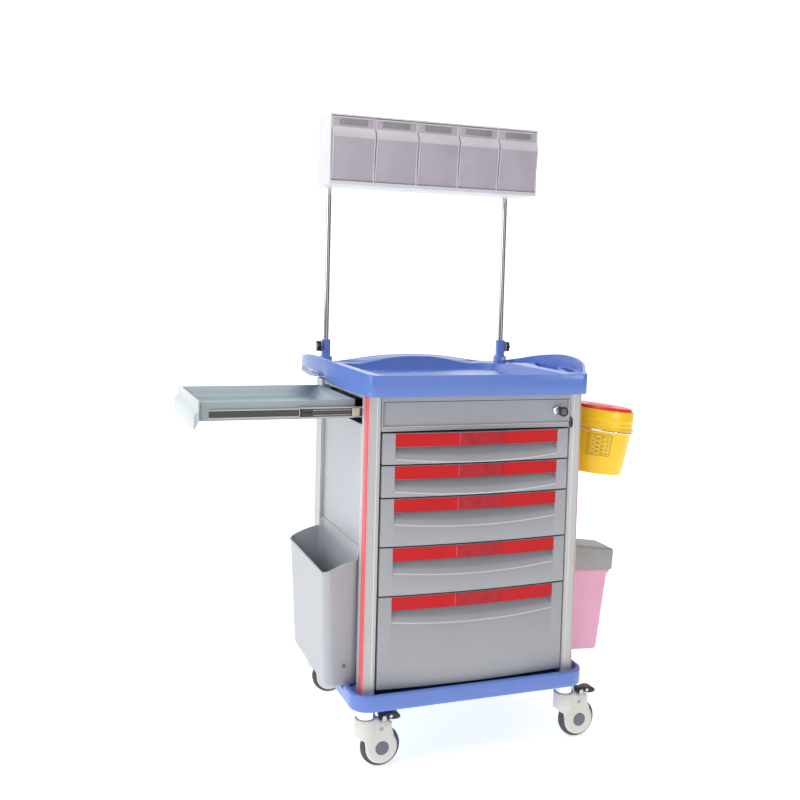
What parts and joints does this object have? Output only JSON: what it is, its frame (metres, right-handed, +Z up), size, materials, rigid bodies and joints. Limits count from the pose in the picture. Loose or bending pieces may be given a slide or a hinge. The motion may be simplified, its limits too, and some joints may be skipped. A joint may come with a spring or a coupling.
{
  "type": "crash cart",
  "caption": "Emergency crash cart with drawers, pull-out side shelf, raised tilt-bin rack on adjustable poles, hung waste and sharps bins, and swivel casters.",
  "frame": {"origin": "centre of the whole object's box, at floor level", "axes": "+Z up, the drawer fronts face -Y, the side shelf comes out towards -X"},
  "size_m": [1.1364, 0.523, 1.551],
  "materials": {
    "blue_abs": "satin blue moulded ABS",
    "grey_abs": "satin grey moulded ABS",
    "pale_panel": "pale grey powder coat",
    "aluminium": "anodised extrusion",
    "dark_steel": "blackened slide steel",
    "chrome": "bright plated steel",
    "grey_green_sheet": "satin grey-green coated sheet",
    "white_plastic": "satin white plastic",
    "clear_plastic": "clear tinted polycarbonate",
    "black_plastic": "black plastic",
    "yellow_plastic": "yellow polypropylene",
    "red_plastic": "red polypropylene",
    "pink_plastic": "pink plastic",
    "lid_grey": "grey plastic",
    "grey_rubber": "grey thermoplastic rubber",
    "cream_nylon": "cream nylon"
  },
  "bodies": {
    "cart": {"base_tray": "blue_abs", "column_front_left": "aluminium", "column_front_right": "aluminium", "column_rear_left": "aluminium", "column_rear_right": "aluminium", "left_panel": "pale_panel", "right_panel": "pale_panel", "rear_panel": "pale_panel", "top_fascia": "grey_abs", "upper_deck": "aluminium", "worktop": "blue_abs", "pole_socket_left": "blue_abs", "pole_socket_right": "blue_abs", "slide_outer_front": "dark_steel", "slide_outer_rear": "dark_steel", "lock_barrel": "chrome", "sharps_ring": "chrome"},
    "drawer_1": {"drawer_front_1": "grey_abs", "drawer_box_1": "white_plastic"},
    "drawer_2": {"drawer_front_2": "grey_abs", "drawer_box_2": "white_plastic"},
    "drawer_3": {"drawer_front_3": "grey_abs", "drawer_box_3": "white_plastic"},
    "drawer_4": {"drawer_front_4": "grey_abs", "drawer_box_4": "white_plastic"},
    "drawer_5": {"drawer_front_5": "grey_abs", "drawer_box_5": "white_plastic"},
    "shelf": {"shelf_tray": "grey_green_sheet", "shelf_grip": "pale_panel", "slide_inner_front": "dark_steel", "slide_inner_rear": "dark_steel"},
    "shelf_middle_slides": {"slide_middle_front": "dark_steel", "slide_middle_rear": "dark_steel"},
    "mast": {"pole_left": "chrome", "pole_right": "chrome", "bin_rack": "white_plastic"},
    "knob_left": {"clamp_knob_left": "black_plastic"},
    "knob_right": {"clamp_knob_right": "black_plastic"},
    "tilt_bin_1_body": {"tilt_bin_1": "clear_plastic"},
    "tilt_bin_2_body": {"tilt_bin_2": "clear_plastic"},
    "tilt_bin_3_body": {"tilt_bin_3": "clear_plastic"},
    "tilt_bin_4_body": {"tilt_bin_4": "clear_plastic"},
    "tilt_bin_5_body": {"tilt_bin_5": "clear_plastic"},
    "key": {"lock_key": "black_plastic"},
    "spare": {"spare_key": "black_plastic"},
    "left_bin_body": {"left_bin": "grey_abs"},
    "sharps": {"sharps_container": "yellow_plastic"},
    "sharps_cap": {"sharps_lid": "red_plastic"},
    "pink_bin_body": {"pink_bin": "pink_plastic"},
    "pink_lid": {"pink_bin_lid": "lid_grey"},
    "caster_front_left": {"caster_fork_front_left": "cream_nylon"},
    "roller_front_left": {"wheel_front_left": "grey_rubber"},
    "pedal_front_left": {"brake_pedal_front_left": "grey_rubber"},
    "caster_front_right": {"caster_fork_front_right": "cream_nylon"},
    "roller_front_right": {"wheel_front_right": "grey_rubber"},
    "pedal_front_right": {"brake_pedal_front_right": "grey_rubber"},
    "caster_rear_left": {"caster_fork_rear_left": "cream_nylon"},
    "roller_rear_left": {"wheel_rear_left": "grey_rubber"},
    "caster_rear_right": {"caster_fork_rear_right": "cream_nylon"},
    "roller_rear_right": {"wheel_rear_right": "grey_rubber"}
  },
  "joints": [
    {"name": "drawer_1_slide", "type": "slide", "parent": "cart", "child": "drawer_1", "axis": [0, -1, 0], "range_m": [0, 0.33]},
    {"name": "drawer_2_slide", "type": "slide", "parent": "cart", "child": "drawer_2", "axis": [0, -1, 0], "range_m": [0, 0.33]},
    {"name": "drawer_3_slide", "type": "slide", "parent": "cart", "child": "drawer_3", "axis": [0, -1, 0], "range_m": [0, 0.33]},
    {"name": "drawer_4_slide", "type": "slide", "parent": "cart", "child": "drawer_4", "axis": [0, -1, 0], "range_m": [0, 0.33]},
    {"name": "drawer_5_slide", "type": "slide", "parent": "cart", "child": "drawer_5", "axis": [0, -1, 0], "range_m": [0, 0.33]},
    {"name": "shelf_slide", "type": "slide", "parent": "cart", "child": "shelf", "axis": [1, 0, 0], "range_m": [0, 0.348]},
    {"name": "middle_member_slide", "type": "slide", "parent": "cart", "child": "shelf_middle_slides", "axis": [1, 0, 0], "range_m": [0, 0.1392]},
    {"name": "mast_height", "type": "slide", "parent": "cart", "child": "mast", "axis": [0, 0, 1], "range_m": [-0.3, 0.2]},
    {"name": "knob_left_turn", "type": "hinge", "parent": "cart", "child": "knob_left", "pos_m": [-0.17871, 0.207, 0.956], "axis": [-1, 0, 0], "range_deg": [-180, 180]},
    {"name": "knob_right_turn", "type": "hinge", "parent": "cart", "child": "knob_right", "pos_m": [0.35629, 0.207, 0.956], "axis": [1, 0, 0], "range_deg": [-180, 180]},
    {"name": "tilt_bin_1_hinge", "type": "hinge", "parent": "mast", "child": "tilt_bin_1_body", "pos_m": [-0.14201, 0.0885, 1.394], "axis": [1, 0, 0], "range_deg": [0, 35]},
    {"name": "tilt_bin_2_hinge", "type": "hinge", "parent": "mast", "child": "tilt_bin_2_body", "pos_m": [-0.02661, 0.0885, 1.394], "axis": [1, 0, 0], "range_deg": [0, 35]},
    {"name": "tilt_bin_3_hinge", "type": "hinge", "parent": "mast", "child": "tilt_bin_3_body", "pos_m": [0.08879, 0.0885, 1.394], "axis": [1, 0, 0], "range_deg": [0, 35]},
    {"name": "tilt_bin_4_hinge", "type": "hinge", "parent": "mast", "child": "tilt_bin_4_body", "pos_m": [0.20419, 0.0885, 1.394], "axis": [1, 0, 0], "range_deg": [0, 35]},
    {"name": "tilt_bin_5_hinge", "type": "hinge", "parent": "mast", "child": "tilt_bin_5_body", "pos_m": [0.31959, 0.0885, 1.394], "axis": [1, 0, 0], "range_deg": [0, 35]},
    {"name": "key_turn", "type": "hinge", "parent": "cart", "child": "key", "pos_m": [0.29629, -0.2295, 0.831], "axis": [0, -1, 0], "range_deg": [0, 70]},
    {"name": "spare_key_swing", "type": "hinge", "parent": "key", "child": "spare", "pos_m": [0.33409, -0.2355, 0.813], "axis": [0, 1, 0], "range_deg": [-25, 0]},
    {"name": "left_bin_lift", "type": "slide", "parent": "cart", "child": "left_bin_body", "axis": [0, 0, 1], "range_m": [0, 0.05]},
    {"name": "sharps_lift", "type": "slide", "parent": "cart", "child": "sharps", "axis": [0.1219, 0, 0.9925], "range_m": [0, 0.015]},
    {"name": "sharps_lid_lift", "type": "slide", "parent": "sharps", "child": "sharps_cap", "axis": [0.1219, 0, 0.9925], "range_m": [0, 0.01]},
    {"name": "pink_bin_lift", "type": "slide", "parent": "cart", "child": "pink_bin_body", "axis": [0, 0, 1], "range_m": [0, 0.05]},
    {"name": "pink_lid_hinge", "type": "hinge", "parent": "pink_bin_body", "child": "pink_lid", "pos_m": [0.37395, -0.117, 0.46937], "axis": [0, -1, 0], "range_deg": [0, 85]},
    {"name": "caster_front_left_swivel", "type": "hinge", "parent": "cart", "child": "caster_front_left", "pos_m": [-0.17221, -0.2205, 0.112], "axis": [0, 0, 1], "continuous": true},
    {"name": "wheel_front_left_spin", "type": "hinge", "parent": "caster_front_left", "child": "roller_front_left", "pos_m": [-0.13571, -0.2205, 0.048], "axis": [0, 1, 0], "continuous": true},
    {"name": "brake_front_left", "type": "hinge", "parent": "caster_front_left", "child": "pedal_front_left", "pos_m": [-0.13021, -0.2205, 0.1195], "axis": [0, 1, 0], "range_deg": [0, 7]},
    {"name": "caster_front_right_swivel", "type": "hinge", "parent": "cart", "child": "caster_front_right", "pos_m": [0.34979, -0.2205, 0.112], "axis": [0, 0, 1], "continuous": true},
    {"name": "wheel_front_right_spin", "type": "hinge", "parent": "caster_front_right", "child": "roller_front_right", "pos_m": [0.38629, -0.2205, 0.048], "axis": [0, 1, 0], "continuous": true},
    {"name": "brake_front_right", "type": "hinge", "parent": "caster_front_right", "child": "pedal_front_right", "pos_m": [0.39179, -0.2205, 0.1195], "axis": [0, 1, 0], "range_deg": [0, 7]},
    {"name": "caster_rear_left_swivel", "type": "hinge", "parent": "cart", "child": "caster_rear_left", "pos_m": [-0.17221, 0.2205, 0.112], "axis": [0, 0, 1], "continuous": true},
    {"name": "wheel_rear_left_spin", "type": "hinge", "parent": "caster_rear_left", "child": "roller_rear_left", "pos_m": [-0.13571, 0.2205, 0.048], "axis": [0, 1, 0], "continuous": true},
    {"name": "caster_rear_right_swivel", "type": "hinge", "parent": "cart", "child": "caster_rear_right", "pos_m": [0.34979, 0.2205, 0.112], "axis": [0, 0, 1], "continuous": true},
    {"name": "wheel_rear_right_spin", "type": "hinge", "parent": "caster_rear_right", "child": "roller_rear_right", "pos_m": [0.38629, 0.2205, 0.048], "axis": [0, 1, 0], "continuous": true}
  ],
  "couplings": [
    {"joint": "middle_member_slide", "follows": "shelf_slide", "ratio": 0.4}
  ]
}
